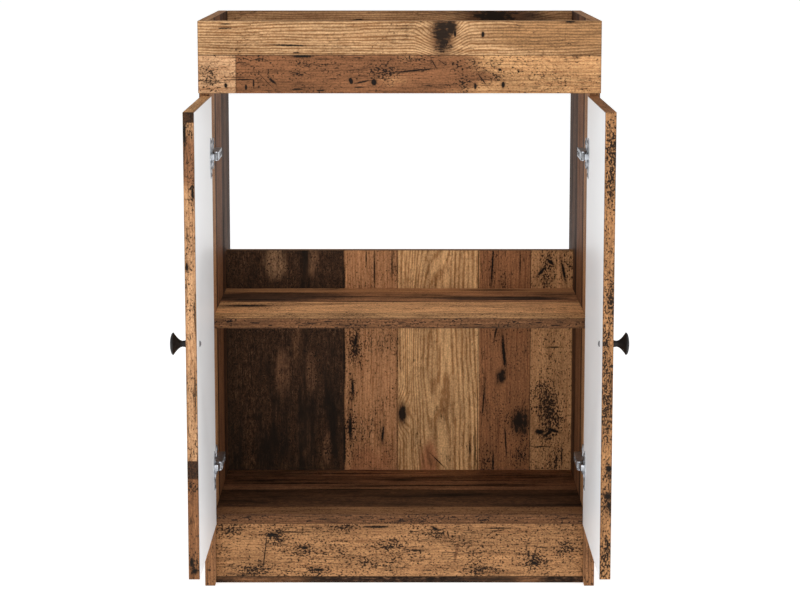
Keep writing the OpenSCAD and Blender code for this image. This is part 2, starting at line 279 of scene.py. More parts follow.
PALE = Plank((0.49, 0.290, 0.140), (0.20, 0.092, 0.036), char=0.02, pits=0.22, cracks=0.10, rings=0.85)
TAN = Plank((0.50, 0.275, 0.120), (0.22, 0.095, 0.038), char=0.05, pits=0.45, cracks=0.25, rings=0.40)
BROWN = Plank((0.255, 0.125, 0.054), (0.085, 0.036, 0.015), char=0.16, pits=0.20, cracks=0.35, rings=0.5)
RUSSET = Plank((0.295, 0.128, 0.052), (0.12, 0.046, 0.019), char=0.16, pits=0.45, cracks=0.35, rings=0.3)
CHARRED = Plank((0.100, 0.050, 0.024), (0.014, 0.008, 0.005), char=0.50, pits=0.50, cracks=0.6, rings=0.25)
DARK = Plank((0.10, 0.045, 0.020), (0.028, 0.013, 0.007), char=0.42, pits=0.20, cracks=0.45, rings=0.5)
PITTED = Plank((0.50, 0.262, 0.106), (0.27, 0.118, 0.044), char=0.06, pits=0.70, cracks=0.30, rings=0.2)


def spot(paint, at, mark):
    """Distance from a mark's centre, 1 on its outline."""
    u, v, half_u, half_v, turn = mark
    moved = paint.node("ShaderNodeVectorMath", {"operation": "SUBTRACT"}, [at, (u * MM, v * MM, 0.0)])
    if turn:
        moved = paint.node("ShaderNodeVectorRotate", {"rotation_type": "Z_AXIS"},
                           {"Vector": moved, "Angle": -math.radians(turn)})
    scaled = paint.stretch(moved, 1.0 / (half_u * MM), 1.0 / (half_v * MM), 0.0)
    return paint.node("ShaderNodeVectorMath", {"operation": "LENGTH"}, [scaled], out="Value")


def most(values):
    total = values[0]
    for value in values[1:]:
        total = total.over(value)
    return total


# Noise of the old wood: features in a metre along and across the grain, octaves, roughness
LAYERS = {
    "broad": (2.4, 11.0, 2.0, 0.5),       # slow drift of the growth rings
    "warp": (17.0, 60.0, 2.0, 0.5),       # their short waves
    "stain": (9.0, 34.0, 5.0, 0.65),
    "streak": (10.0, 190.0, 3.0, 0.65),
    "fibre": (42.0, 620.0, 3.0, 0.7),
    "fleck": (105.0, 190.0, 3.0, 0.65),
    "grit": (330.0, 430.0, 2.0, 0.6),
    "patches": (15.0, 24.0, 3.0, 0.6),    # where the wear gathers
    "pitting": (290.0, 400.0, 3.0, 0.6),
    "scorch": (6.0, 30.0, 6.0, 0.7),
    "line": (7.0, 95.0, 3.0, 0.6),        # long fine cracks follow its middle value
}


class Face:
    """One face of a board: the place along and across its grain, and the strips of its pattern."""

    def __init__(self, paint, node, grain, across, rows, seed):
        self.paint = paint
        point = paint.parts(paint.point())
        corner, far = low(node), high(node)
        self.u = point[grain] - getattr(corner, grain)
        self.v = point[across] - getattr(corner, across)
        self.size_u = getattr(far, grain) - getattr(corner, grain)
        self.size_v = getattr(far, across) - getattr(corner, across)
        self.at = paint.vector(self.u, self.v, 0.0)

        self.ends = [end * MM for end, _ in rows]
        planks = [plank for _, plank in rows]
        self.light = self.by_row([plank.light for plank in planks])
        self.dark = self.by_row([plank.dark for plank in planks])
        self.char, self.pits, self.cracks = self.numbers([plank.wear for plank in planks])
        shifts = [(0.137 * seed + 0.31 * index) % 1.0 for index in range(len(rows))]
        self.rings, self.frequency, shift = self.numbers(
            [(*plank.figure, own) for plank, own in zip(planks, shifts)])

        field = paint.vector(self.u + shift * 7.0 + seed * 1.3, self.v + shift * 3.0, 0.0)
        for name, (along, over, octaves, rough) in LAYERS.items():
            setattr(self, name, paint.noise(paint.stretch(field, along, over, 1.0), 1.0, octaves, rough))

    def by_row(self, colours):
        """The colour of the strip that a point lies in."""
        starts = [0.0] + [end / self.ends[-1] for end in self.ends[:-1]]
        stops = list(zip(starts, colours))
        if len(stops) == 1:
            stops.append((1.0, stops[0][1]))
        return self.paint.node("ShaderNodeValToRGB", {"ramp": ("CONSTANT", stops)},
                               [self.v / self.ends[-1]])

    def numbers(self, triples):
        """Three numbers of the strip that a point lies in."""
        colour = self.by_row(triples)
        return [self.paint.node("ShaderNodeSeparateColor", {}, [colour], out=part)
                for part in ("Red", "Green", "Blue")]

    def distances(self, marks):
        return [spot(self.paint, self.at, mark) for mark in marks]

    def inside(self, start_v, end_v):
        """Depth inside a band across the grain, given in millimetres."""
        return (self.v - start_v * MM).under(end_v * MM - self.v)


def growth(face, knots, arches):
    """Growth rings, which bend round the knots, and how dark the wood is between 0 and 1."""
    swirl = 0.0
    if knots:
        swirl = most([distance.fall(0.5, 3.4) for distance in knots]) * 3.4
    for distance in arches:
        swirl = distance.fall(0.0, 1.0) * 5.5 + swirl
    turns = face.v / MM * face.frequency + face.broad * 6.0 + face.warp * 1.1 + swirl
    ring = ((turns * (2.0 * math.pi)).sine() * 0.5 + 0.5).power(2.0) * face.rings
    shade = (ring * 0.85 + face.fibre.rise(0.30, 0.75, 0.50) + (face.streak - 0.5) * 2.6
             + (face.fleck - 0.5) * 1.5).over(0.0).under(1.0)
    return ring, shade


def tint_wood(face, shade, stains, blocks):
    """Clean wood of each strip, then stains and blocks of other wood, then its dust and its char."""
    paint = face.paint
    colour = paint.mix(shade, face.light, face.dark)
    for tint, mark, band_of in stains:
        rough = (face.stain - 0.5) * 1.6 + (face.fleck - 0.5) * 0.5
        patch = (spot(paint, face.at, mark) + rough).fall(0.6, 1.2)
        stained = paint.mix(shade, tint, tuple(part * 0.42 for part in tint))
        colour = paint.mix(patch.under(face.inside(*band_of).rise(0.0, 0.0004)), colour, stained)
    for (start_u, end_u, start_v, end_v), plank in blocks:
        inside = (face.u - start_u * MM).under(end_u * MM - face.u).under(face.inside(start_v, end_v))
        colour = paint.mix(inside.rise(-0.0001, 0.0003), colour, paint.mix(shade, plank.light, plank.dark))
        colour = paint.mix(abs(inside).fall(0.0002, 0.0010, 0.7), colour, DIRT)

    burnt = (face.fleck * 0.6 + face.streak * 0.4).rise(0.40, 0.62, 1.75) + 0.15
    tone = (face.stain.rise(0.22, 0.78, 0.45) + face.grit.rise(0.25, 0.75, 0.50)
            + face.fibre.rise(0.3, 0.7, 0.35) + 0.36)
    tone = tone * ((burnt - 1.0) * (face.char * 1.6).under(1.0) + 1.0)
    colour = paint.mix(1.0, colour, paint.vector(tone, tone, tone), "MULTIPLY")
    flake = (face.fleck * 0.50 + face.fibre * 0.50).rise(0.53, 0.60) * face.char
    return paint.mix(flake, colour, FLAKE)


def wear_wood(face, near):
    """Specks, soot and cracks, and the brown that surrounds the specks. near gathers them at blots."""
    worn = (face.pitting * 0.70 + face.fleck * 0.30 + face.pits * 0.25 + (face.patches - 0.5) * 0.26
            + near * 0.085)
    soot = (face.scorch + face.char * 0.40 + (face.fleck - 0.5) * 0.25).rise(0.64, 0.84) * 0.9
    cracked = (face.patches + face.cracks * 0.4 + (face.fleck - 0.5) * 0.3).rise(0.58, 0.68)
    split = abs(face.line - 0.5).fall(0.0, 0.012) * cracked
    return soot.over(worn.rise(0.685, 0.738, 0.96)).over(split * 0.85), worn.rise(0.60, 0.71, 0.50)


def cut_marks(face, dark, halo, knots, marks):
    """Knots, worm holes and scratches over the wear."""
    if knots:
        ragged = (face.fleck - 0.5) * 2.4 + (face.streak - 0.5) * 1.6
        heart = most([(distance + ragged).fall(0.55, 1.25) for distance in knots])
        halo = halo.over(most([(distance + ragged * 0.4).fall(0.8, 2.0) for distance in knots]) * 0.8)
        dark = dark.over(heart * 0.95)
    for kind, edge, wander in (("holes", (0.75, 1.05), 0.3), ("slits", (0.50, 1.10), 1.0)):
        spots = face.distances(marks.get(kind, ()))
        if spots:
            rough = (face.grit - 0.5) * wander + (face.fleck - 0.5) * wander
            dark = dark.over(most([(distance + rough).fall(*edge) for distance in spots]))
            halo = halo.over(most([distance.fall(0.9, 2.1) for distance in spots]) * 0.45)
    return dark, halo


def old_wood(name, node, grain, across, rows, marks=None, seed=1.0, blocks=()):
    """Printed reclaimed wood on one face of a board. rows are (end, plank) across the board and marks
    are lists of (along, across, half length, half width, turn), all in millimetres from the low corner."""
    marks = marks or {}
    paint = Paint(name)
    face = Face(paint, node, grain, across, rows, seed)
    knots = face.distances(marks.get("knots", ()))
    ring, shade = growth(face, knots, face.distances(marks.get("arches", ())))
    colour = tint_wood(face, shade, marks.get("stains", ()), blocks)

    blots = face.distances(marks.get("blots", ()))
    near = most([distance.fall(0.1, 1.35) for distance in blots]) if blots else 0.0
    dark, halo = wear_wood(face, near)
    dark, halo = cut_marks(face, dark, halo, knots, marks)
    colour = paint.mix(halo.over(near * 0.22), colour, BARK)

    joints = [abs(face.v - end).fall(0.0002, 0.0009) for end in face.ends[:-1]]
    if joints:
        dark = dark.over(most(joints) * 0.85)
    to_edge = face.u.under(face.size_u - face.u).under(face.v.under(face.size_v - face.v))
    rim = to_edge.fall(0.0003, 0.0016) * 0.42
    colour = paint.mix(dark.over(rim).under(1.0), colour, SOOT)
    height = 0.7 - ring * 0.25 - face.fibre * 0.25 - dark * 0.5
    return paint.finish(colour, 0.58 + dark * 0.2 + face.fibre * 0.1, height, depth=0.0003,
                        strength=0.3, gloss=0.07)


# ------------------------------------------------------------------ other finishes

def chipboard():
    paint = Paint("chipboard_core")
    point = paint.point()
    chips = paint.node("ShaderNodeTexVoronoi", {"feature": "F1"}, {"Vector": point, "Scale": 700.0},
                       out="Color")
    dust = paint.noise(point, 1500.0, 3.0, 0.6)
    colour = paint.mix(0.55, (0.42, 0.29, 0.17), paint.mix(1.0, chips, (0.55, 0.40, 0.24), "MULTIPLY"))
    return paint.finish(colour, 0.9, dust, depth=0.0005, strength=0.6)


def plated(name, tint, dull, roughness):
    """Plated sheet metal with drawn scratches and handling marks."""
    paint = Paint(name)
    point = paint.point()
    drawn = paint.noise(paint.stretch(point, 300.0, 300.0, 4000.0), 1.0, 2.0, 0.5)
    smear = paint.noise(point, 120.0, 3.0, 0.6)
    colour = paint.mix(smear.rise(0.35, 0.75), tint, dull)
    return paint.finish(colour, roughness + smear * 0.12 + drawn * 0.08, drawn, depth=0.00004,
                        strength=0.3, metallic=1.0)


def black_lacquer():
    paint = Paint("black_lacquer")
    point = paint.point()
    powder = paint.noise(point, 1800.0, 2.0, 0.5)
    wear = paint.noise(point, 160.0, 4.0, 0.6)
    colour = paint.mix(wear.rise(0.4, 0.8), (0.009, 0.0085, 0.0085), (0.020, 0.018, 0.017))
    return paint.finish(colour, 0.48 + wear * 0.15, powder, depth=0.00005, strength=0.35, gloss=0.22)


def beech():
    paint = Paint("beech_dowel_wood")
    point = paint.point()
    fleck = paint.noise(paint.stretch(point, 200.0, 2000.0, 2000.0), 1.0, 3.0, 0.6)
    colour = paint.mix(fleck.rise(0.3, 0.7), (0.66, 0.44, 0.25), (0.50, 0.31, 0.16))
    return paint.finish(colour, 0.7 + fleck * 0.1, fleck, depth=0.0001, strength=0.4)


CORE = chipboard()
NICKEL = plated("nickel_plate", (0.42, 0.435, 0.46), (0.27, 0.285, 0.31), 0.34)
ZINC = plated("zinc_plate", (0.42, 0.43, 0.45), (0.30, 0.31, 0.33), 0.36)
STEEL = plated("screw_steel", (0.24, 0.24, 0.25), (0.15, 0.15, 0.155), 0.40)
BLACK = black_lacquer()
BEECH = beech()


# ------------------------------------------------------------------ making pieces

def add_piece(name, mesh, body):
    piece = bpy.data.objects.new(name, mesh)
    show(piece)
    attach(piece, body)
    return piece


def smooth_by_angle(mesh, degrees=35.0):
    limit = math.radians(degrees)
    form = bmesh.new()
    form.from_mesh(mesh)
    for face in form.faces:
        face.smooth = True
    for edge in form.edges:
        edge.smooth = len(edge.link_faces) == 2 and edge.calc_face_angle() < limit
    form.to_mesh(mesh)
    form.free()


def clean_copy(node):
    """A CAD node's shape as merged, flat polygons in a new bmesh."""
    form = bmesh.new()
    form.from_mesh(cad[node].data)
    bmesh.ops.remove_doubles(form, verts=form.verts, dist=SAME)
    bmesh.ops.dissolve_limit(form, angle_limit=math.radians(0.5), verts=form.verts, edges=form.edges,
                             delimit=set())
    return form


def outer_edges(form, bottom, top):
    """Edges of the board that lie on two faces of its box."""
    found = []
    for edge in form.edges:
        ends = [vert.co for vert in edge.verts]
        walls = sum(1 for axis in range(3) for wall in (bottom, top)
                    if all(abs(end[axis] - wall[axis]) < 2.0 * SAME for end in ends))
        if walls >= 2:
            found.append(edge)
    return found


def make_board(node, body, skins, round_over=0.0007):
    """A board from its CAD shape with eased edges. skins maps a direction such as '-y' to a finish."""
    bottom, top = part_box(node)
    form = clean_copy(node)
    bmesh.ops.bevel(form, geom=outer_edges(form, bottom, top), offset=round_over, segments=2,
                    profile=0.6, affect="EDGES")
    finishes = [CORE] + list(dict.fromkeys(skins.values()))
    for face in form.faces:
        normal, middle = face.normal, face.calc_center_median()
        axis = max(range(3), key=lambda index: abs(normal[index]))
        sign = "+" if normal[axis] > 0 else "-"
        wall = top[axis] if sign == "+" else bottom[axis]
        on_skin = abs(middle[axis] - wall) < round_over
        face.material_index = finishes.index(skins[sign + AXES[axis]]) if on_skin else 0
    mesh = bpy.data.meshes.new(node + "_mesh")
    form.to_mesh(mesh)
    form.free()
    for finish in finishes:
        mesh.materials.append(finish)
    smooth_by_angle(mesh, 40.0)
    piece = add_piece(node + "_board", mesh, body)
    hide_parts(node)
    return piece


def board_skins(broad, below, above, **edges):
    """Finishes of a board by direction: its two broad faces, and edges that are alike at both ends."""
    found = {"-" + broad: below, "+" + broad: above}
    for axis, finish in edges.items():
        found["-" + axis] = found["+" + axis] = finish
    return found


def finish_node(node, finish):
    cad[node].data.materials.clear()
    cad[node].data.materials.append(finish)


# ------------------------------------------------------------------ carcass


def band(name, node, grain, across, plank, seed, marks=None, blocks=()):
    """Edge band: one narrow strip of pattern along a board's edge."""
    size = (getattr(high(node), across) - getattr(low(node), across)) / MM
    return old_wood(name, node, grain, across, [(size, plank)], marks, seed, blocks)


def dashes(length, turn):
    """Short dark scratches along an edge band."""
    return {"slits": [(20.0 + 38.0 * index + 11.0 * math.sin(turn + 2.3 * index),
                       7.5 + 3.0 * math.sin(3.0 * turn + 1.7 * index),
                       6.5 + 3.5 * math.sin(2.1 * index), 1.0 + 0.3 * math.cos(turn * index), 0)
                      for index in range(int(length / 38.0))]}


def front_rail():
    red = (0.225, 0.094, 0.040)
    lower_row = (0, 55)
    marks = {
        "knots": [(351, 84, 13, 25, 0), (363, 95, 8, 11, 0)],
        "stains": [(red, (140, 20, 240, 90, 0), lower_row), (red, (340, 30, 70, 40, 0), lower_row),
                   ((0.36, 0.185, 0.078), (520, 84, 110, 26, 0), (55, 104))],
        "holes": [(369.5, 85.5, 2, 5, 0), (409.5, 84.5, 2.4, 4.6, 0), (40, 11.5, 2.4, 3.8, 0),
                  (69, 9, 1.9, 4.4, 0), (220, 18, 3.2, 5.2, 20), (253, 16, 4.2, 5.4, 0),
                  (399, 10, 2.1, 4.6, 0), (439, 12.5, 2.8, 4.6, 0), (434, 34, 2.6, 2, 0),
                  (461, 31.5, 1.5, 1.7, 0)],
        "slits": [(133, 69, 30, 1.4, -2), (39, 93.5, 12, 1.1, 0), (40, 99.5, 8, 0.9, 0),
                  (142, 58.5, 5, 1.1, 0), (534, 103, 10, 2.2, 0), (107, 18, 9, 2.2, -40),
                  (96, 20, 19, 0.5, -46), (80, 14, 1.4, 7, 0), (67, 20, 14, 1.2, 0), (150, 53, 18, 2.2, 0),
                  (236, 16.5, 14, 1.4, 12), (312, 33, 34, 1.7, 5), (339, 43, 10, 0.9, -60),
                  (352, 44, 8, 0.8, -35), (408, 21, 11, 1.0, -52), (143, 6, 10, 1.4, 0),
                  (176, 4, 6, 1.4, 0), (232, 9, 8, 1, 0), (358, 72, 8, 1, 70)],
        "blots": [(142, 29, 14, 12, 0), (64, 51, 14, 5, 0), (91, 50, 12, 6, 0), (264, 35, 30, 14, 0),
                  (372, 40, 18, 11, 0), (398, 43, 8, 10, 0), (382, 15, 17, 13, 0), (360, 92, 12, 12, 0),
                  (160, 41, 26, 8, 0), (300, 50, 22, 6, 0), (18, 22, 14, 24, 0), (430, 22, 9, 6, 0)],
    }
    upper = PALE.but(light=(0.47, 0.280, 0.138), dark=(0.17, 0.078, 0.030), figure=(1.0, 1.0 / 4.2))
    lower = TAN.but(wear=(0.05, 0.44, 0.40))
    block = TAN.but(light=(0.50, 0.290, 0.150), dark=(0.24, 0.115, 0.052))
    face = old_wood("front_rail_face", "front_rail", "x", "z", [(55, lower), (104, upper)], marks, 2.0,
                    [((-5, 54.6, -5, 55), block)])
    rear = old_wood("front_rail_rear", "front_rail", "x", "z", [(55, TAN), (104, PALE)], None, 3.0)
    edge = band("front_rail_edge", "front_rail", "x", "y", TAN, 4.0)
    end = band("front_rail_end", "front_rail", "z", "y", TAN, 5.0)
    make_board("front_rail", "carcass", board_skins("y", face, rear, z=edge, x=end))


def rear_rail():
    marks = {"stains": [((0.065, 0.036, 0.022), (430, 84, 90, 34, 0), (52, 104))],
             "knots": [(425, 94, 34, 15, 0)],
             "slits": [(110, 86, 14, 1.2, 0), (210, 90, 10, 1.2, 0)]}
    plank = PALE.but(light=(0.42, 0.23, 0.105), dark=(0.20, 0.092, 0.04), figure=(0.9, 1.0 / 4.0))
    face = old_wood("rear_rail_face", "rear_rail", "x", "z", [(52, TAN), (104, plank)], marks, 6.0)
    rear = old_wood("rear_rail_rear", "rear_rail", "x", "z", [(52, BROWN), (104, TAN)], None, 7.0)
    edge = band("rear_rail_edge", "rear_rail", "x", "y", BROWN, 8.0)
    end = band("rear_rail_end", "rear_rail", "z", "y", TAN, 9.0)
    make_board("rear_rail", "carcass", board_skins("y", face, rear, z=edge, x=end))


def side_panels():
    near = BROWN.but(light=(0.58, 0.300, 0.138), dark=(0.14, 0.061, 0.027), wear=(0.14, 0.3, 0.7))
    middle = RUSSET.but(light=(0.28, 0.122, 0.054), dark=(0.080, 0.033, 0.015), wear=(0.22, 0.3, 0.6))
    shade = DARK.but(light=(0.095, 0.042, 0.021), dark=(0.024, 0.012, 0.007))
    rear = BROWN.but(light=(0.15, 0.068, 0.032), dark=(0.045, 0.020, 0.011), wear=(0.35, 0.2, 0.6))
    inner_rows = [(88, near), (112, shade), (215, middle), (250, shade), (318, rear), (375, shade)]
    inner_marks = {"slits": [(700, 60, 60, 1.6, 0), (520, 40, 90, 1.2, 0), (240, 70, 70, 1.4, 0),
                             (380, 140, 80, 2.2, 0), (640, 180, 70, 2.0, 0), (200, 160, 60, 2.4, 0)]}
    for index, (side, (inner_side, outer_side)) in enumerate(SIDES.items()):
        node = side + "_side_panel"
        inner = old_wood(side + "_side_inner", node, "z", "y", inner_rows, inner_marks, 10.0 + index)
        outer_rows = [(92, TAN), (168, CHARRED), (242, PALE), (318, RUSSET), (375, TAN)]
        if side == "right":
            outer_rows = [(70, RUSSET), (150, PALE), (225, TAN), (300, CHARRED), (375, BROWN)]
        outer_marks = {"knots": [(530, 196, 16, 9, 0), (210, 284, 22, 12, 0)],
                       "slits": [(700, 40, 40, 2, 3), (330, 60, 26, 1.6, -4), (610, 300, 40, 2.2, 0)],
                       "blots": [(420, 110, 90, 26, 0), (120, 350, 70, 20, 0)],
                       "holes": [(770, 210, 4.6, 2.4, 0), (96, 215, 4.6, 2.4, 0), (640, 330, 3.5, 2.2, 0)]}
        outer = old_wood(side + "_side_outer", node, "z", "y", outer_rows, outer_marks, 12.0 + index)
        front = band(side + "_side_front", node, "z", "x",
                     BROWN.but(light=(0.29, 0.135, 0.058), wear=(0.2, 0.5, 0.8)), 14.0 + index)
        edge = band(side + "_side_end", node, "y", "x", TAN.but(light=(0.40, 0.21, 0.098)), 16.0 + index)
        make_board(node, "carcass", {inner_side: inner, outer_side: outer, "-y": front, "+y": front,
                                     "+z": edge, "-z": edge})


def back_panel():
    charred_row = (0, 185)
    umber, copper = (0.17, 0.08, 0.040), (0.40, 0.165, 0.072)
    marks = {
        "arches": [(190, 318, 330, 46, 0)],
        "knots": [(107, 279, 15, 6, 0), (94, 468, 18, 13, 0), (168, 437, 12, 6, 12)],
        "stains": [((0.30, 0.165, 0.085), (352, 80, 32, 18, 0), charred_row),
                   ((0.24, 0.12, 0.06), (356, 137, 30, 10, 0), charred_row),
                   (umber, (168, 88, 40, 12, 0), charred_row),
                   (umber, (171, 133, 34, 10, 0), charred_row),
                   ((0.14, 0.066, 0.032), (78, 122, 44, 12, 0), charred_row),
                   (umber, (48, 159, 26, 8, 0), charred_row),
                   ((0.13, 0.060, 0.028), (250, 112, 60, 9, 0), charred_row),
                   (copper, (24, 322, 40, 17, 0), (271, 400)), (copper, (12, 228, 44, 44, 0), (185, 271))],
        "slits": [(73, 248, 17, 2.4, 6), (337, 500, 12, 3.0, 40), (352, 514, 9, 3.0, -50),
                  (380, 505, 12, 2.4, 20), (340, 235, 34, 1.2, 0), (348, 263, 24, 1.0, 0),
                  (358, 222, 18, 1.0, 0), (30, 336, 16, 1.0, -45), (52, 387.5, 13, 1.2, 0),
                  (40, 396, 24, 1.0, 0), (345, 422, 38, 2.0, 3), (206, 441, 34, 3.2, -5),
                  (240, 428, 20, 1.6, 10), (130, 409, 30, 1.6, 4), (337, 535, 22, 2.6, -12),
                  (77, 500, 5, 9, 0), (74, 512, 12, 3.0, 50), (80, 520, 3, 14, 20), (53, 502, 1.0, 18, 0),
                  (38, 535, 20, 1.4, 0), (225, 205, 16, 3.0, 10), (84, 196, 26, 3.6, 0),
                  (150, 200, 20, 2.4, -4), (200, 187, 60, 1.8, 0), (320, 187, 40, 1.6, 0),
                  (60, 187, 50, 2.0, 0), (26, 425, 22, 1.6, 0), (60, 445, 30, 1.4, -4),
                  (350, 466, 20, 1.2, 0), (215, 521, 1.2, 12, 0)],
        "blots": [(222, 203, 34, 12, 0), (84, 196, 40, 12, 0), (344, 509, 44, 14, 0),
                  (126, 514, 62, 26, 0), (70, 512, 30, 18, 0), (30, 526, 30, 16, 0), (100, 528, 30, 12, 0),
                  (96, 462, 40, 22, 0), (250, 205, 20, 9, 0), (150, 199, 30, 10, 0), (30, 415, 40, 14, 0),
                  (40, 470, 36, 14, 0), (300, 440, 60, 9, 0)],
    }
    charred = CHARRED.but(light=(0.050, 0.023, 0.011), dark=(0.006, 0.004, 0.003), wear=(0.46, 0.58, 0.8))
    tan = TAN.but(light=(0.47, 0.225, 0.100), dark=(0.21, 0.085, 0.034), wear=(0.05, 0.42, 0.4))
    pale = PALE.but(light=(0.60, 0.345, 0.155), dark=(0.26, 0.120, 0.045), wear=(0.0, 0.12, 0.1),
                    figure=(0.8, 1.0 / 7.5))
    russet = RUSSET.but(light=(0.33, 0.138, 0.057), dark=(0.12, 0.044, 0.018), wear=(0.16, 0.42, 0.5))
    spotted = PITTED.but(light=(0.53, 0.270, 0.117), dark=(0.22, 0.094, 0.038), wear=(0.10, 0.52, 0.3))
    face = old_wood("back_panel_face", "back_panel", "z", "x",
                    [(185, charred), (271, tan), (400, pale), (483, russet), (550, spotted)], marks, 20.0)
    rear = old_wood("back_panel_rear", "back_panel", "z", "x",
                    [(110, BROWN), (210, TAN), (330, CHARRED), (440, PALE), (550, RUSSET)], None, 21.0)
    edge = band("back_panel_edge", "back_panel", "x", "y", BROWN, 22.0)
    end = band("back_panel_end", "back_panel", "z", "y", BROWN, 23.0)
    make_board("back_panel", "carcass", board_skins("y", face, rear, z=edge, x=end))


def shelf():
    sooty = (0.085, 0.038, 0.019)
    marks = {"slits": [(44, 112, 46, 10, 0), (300, 28, 30, 1.6, 0), (190, 200, 80, 4, 0),
                       (420, 262, 60, 5, 0), (330, 186, 90, 4, 0), (470, 170, 70, 4, 0),
                       (110, 232, 80, 4, 0), (250, 152, 90, 3, 0), (60, 170, 60, 4, 0),
                       (520, 216, 50, 4, 0), (160, 128, 44, 2, 0), (400, 110, 60, 1.6, 0)],
             "stains": [(sooty, (60, 190, 150, 44, 0), (120, 240)),
                        (sooty, (430, 182, 110, 18, 0), (148, 240))],
             "blots": [(45, 118, 60, 12, 0), (430, 258, 60, 10, 0)]}
    face = old_wood("shelf_top", "shelf", "x", "y",
                    [(46, TAN.but(light=(0.68, 0.365, 0.155), dark=(0.13, 0.056, 0.023),
                                  wear=(0.14, 0.52, 0.9))),
                     (148, BROWN.but(light=(0.96, 0.490, 0.205), dark=(0.14, 0.057, 0.023),
                                     wear=(0.18, 0.42, 0.9))),
                     (240, BROWN.but(light=(0.52, 0.226, 0.095), dark=(0.090, 0.037, 0.016),
                                     wear=(0.36, 0.3, 0.8))),
                     (280, BROWN.but(light=(0.56, 0.266, 0.113), dark=(0.16, 0.067, 0.028)))], marks, 30.0)
    under = old_wood("shelf_under", "shelf", "x", "y", [(90, BROWN), (190, RUSSET), (280, BROWN)], None,
                     31.0)
    edge = band("shelf_front", "shelf", "x", "z",
                BROWN.but(light=(0.185, 0.083, 0.035), dark=(0.062, 0.025, 0.011), wear=(0.28, 0.58, 0.9)),
                32.0, dashes(550, 0.4))
    end = band("shelf_end", "shelf", "y", "z", BROWN, 33.0)
    make_board("shelf", "carcass", board_skins("z", under, face, y=edge, x=end))


def bottom_panel():
    marks = {"slits": [(200, 150, 90, 3, 0), (90, 40, 12, 1.6, 25), (400, 210, 80, 3, 0),
                       (120, 190, 100, 4, 0), (330, 176, 120, 4, 0), (470, 240, 80, 3, 0),
                       (200, 256, 90, 3, 0)],
             "stains": [((0.30, 0.15, 0.07), (210, 152, 120, 6, 1), (140, 170)),
                        ((0.26, 0.12, 0.056), (420, 226, 140, 10, 0), (200, 250))]}
    face = old_wood("bottom_top", "bottom_panel", "x", "y",
                    [(44, BROWN.but(light=(0.34, 0.166, 0.075), dark=(0.045, 0.020, 0.009),
                                    wear=(0.22, 0.50, 0.9))),
                     (148, DARK.but(light=(0.125, 0.059, 0.029))),
                     (236, DARK.but(light=(0.55, 0.270, 0.135), dark=(0.016, 0.008, 0.005))),
                     (280, DARK.but(light=(0.76, 0.400, 0.210), dark=(0.03, 0.017, 0.010)))], marks, 40.0)
    under = old_wood("bottom_under", "bottom_panel", "x", "y", [(120, BROWN), (280, DARK)], None, 41.0)
    edge = band("bottom_front", "bottom_panel", "x", "z",
                BROWN.but(light=(0.16, 0.072, 0.030), dark=(0.055, 0.022, 0.010), wear=(0.26, 0.58, 0.9)),
                42.0, dashes(550, 1.9))
    end = band("bottom_end", "bottom_panel", "y", "z", BROWN, 43.0)
    make_board("bottom_panel", "carcass", board_skins("z", under, face, y=edge, x=end))


def kick_board():
    brown = (0.20, 0.09, 0.039)
    marks = {"slits": [(112, 78, 34, 1.1, 0), (84, 74, 10, 3.2, 0), (73, 43, 32, 1.0, 83),
                       (328, 83, 6, 3, -30), (475, 36, 26, 1.1, 75), (478, 30, 7, 3, -20),
                       (470, 28, 12, 0.9, 20), (240, 86, 22, 2.2, 0), (133, 54, 6, 3, 0),
                       (154, 20, 10, 2.4, 0), (420, 84, 26, 1.2, 0), (300, 50, 16, 1.1, 0)],
             "stains": [(brown, (360, 46, 15, 2.4, 80), (10, 95)), (brown, (60, 5, 90, 20, 0), (0, 9.5)),
                        (brown, (430, 5, 60, 20, 0), (0, 9.5))],
             "blots": [(25, 81, 26, 10, 0), (189, 85, 44, 9, 0), (133, 50, 20, 15, 0),
                       (154, 18, 22, 12, 0), (90, 68, 26, 12, 0), (60, 22, 30, 12, 0),
                       (260, 60, 26, 12, 0), (478, 34, 22, 16, 0), (520, 50, 20, 16, 0),
                       (400, 20, 34, 9, 0), (330, 76, 18, 10, 0), (230, 30, 24, 10, 0)]}
    kick = PITTED.but(light=(0.36, 0.184, 0.079), dark=(0.14, 0.062, 0.025), wear=(0.05, 0.56, 0.6))
    strip = DARK.but(light=(0.030, 0.015, 0.008), dark=(0.012, 0.007, 0.005), wear=(0.45, 0.2, 0.5))
    face = old_wood("kick_board_face", "kick_board", "x", "z", [(9.5, strip), (95, kick)], marks, 50.0)
    rear = old_wood("kick_board_rear", "kick_board", "x", "z", [(40, BROWN), (95, TAN)], None, 51.0)
    edge = band("kick_board_edge", "kick_board", "x", "y", BROWN, 52.0)
    make_board("kick_board", "carcass", board_skins("y", face, rear, z=edge, x=edge))


# ------------------------------------------------------------------ doors

